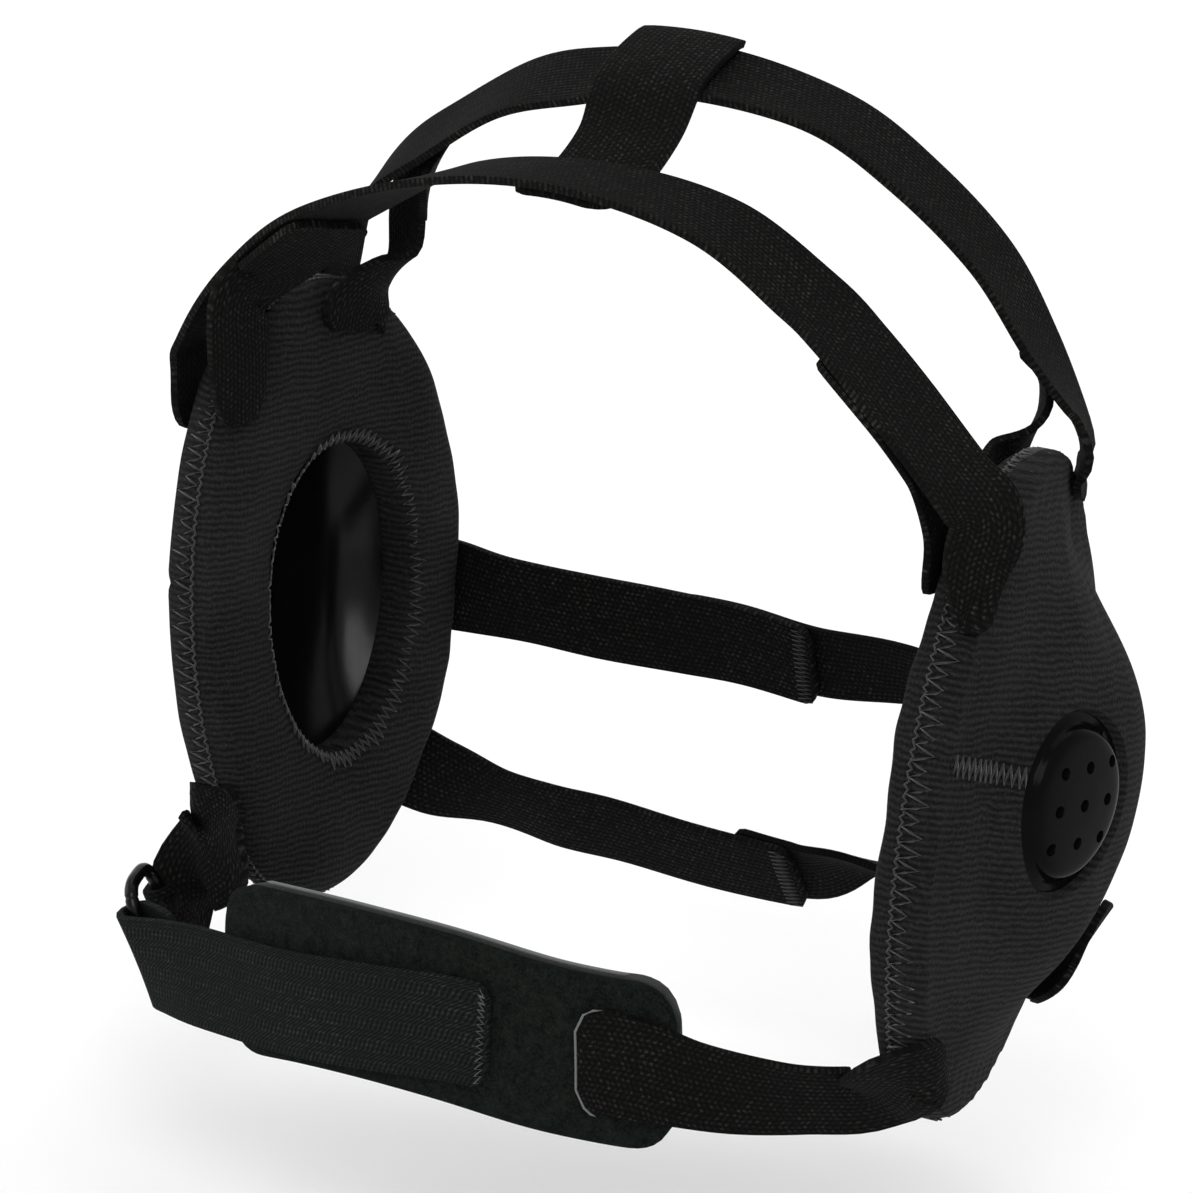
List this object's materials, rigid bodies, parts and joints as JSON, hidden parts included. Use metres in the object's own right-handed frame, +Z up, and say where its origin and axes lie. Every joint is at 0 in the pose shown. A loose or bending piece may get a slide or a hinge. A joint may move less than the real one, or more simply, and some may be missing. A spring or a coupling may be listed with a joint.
{
  "type": "wrestling ear guard",
  "caption": "Youth wrestling ear guard: two padded ear cups with vented domes, joined by crown and back straps and a chin strap with a padded chin piece.",
  "frame": {"origin": "middle of the underside of the strap that joins the two crown straps, where the guard sits on the head", "axes": "+X to the wearer's left, -Y the way the face looks, +Z up"},
  "size_m": [0.2012, 0.1235, 0.1923],
  "materials": {
    "knit": "ribbed knit, matt",
    "webbing": "woven, matt",
    "plastic": "satin black",
    "chin_cloth": "brushed, matt",
    "foam": "matt"
  },
  "bodies": {
    "root": {"ear_pad_right": "knit", "ear_shell_right": "plastic", "ear_cover_right": "knit", "ear_pad_left": "knit", "ear_shell_left": "plastic", "ear_cover_left": "knit", "front_crown_strap": "webbing", "front_inner_tab_left": "webbing", "front_inner_tab_right": "webbing", "rear_crown_strap": "webbing", "rear_inner_tab_left": "webbing", "rear_inner_tab_right": "webbing", "crown_bridge": "webbing", "upper_back_strap": "webbing", "upper_back_link": "webbing", "lower_back_strap": "webbing", "lower_back_link": "webbing", "chin_pad": "chin_cloth", "chin_lining": "foam", "chin_ring": "plastic", "chin_tab": "chin_cloth", "chin_strap_left": "webbing", "chin_strap_right": "webbing"}
  },
  "joints": []
}
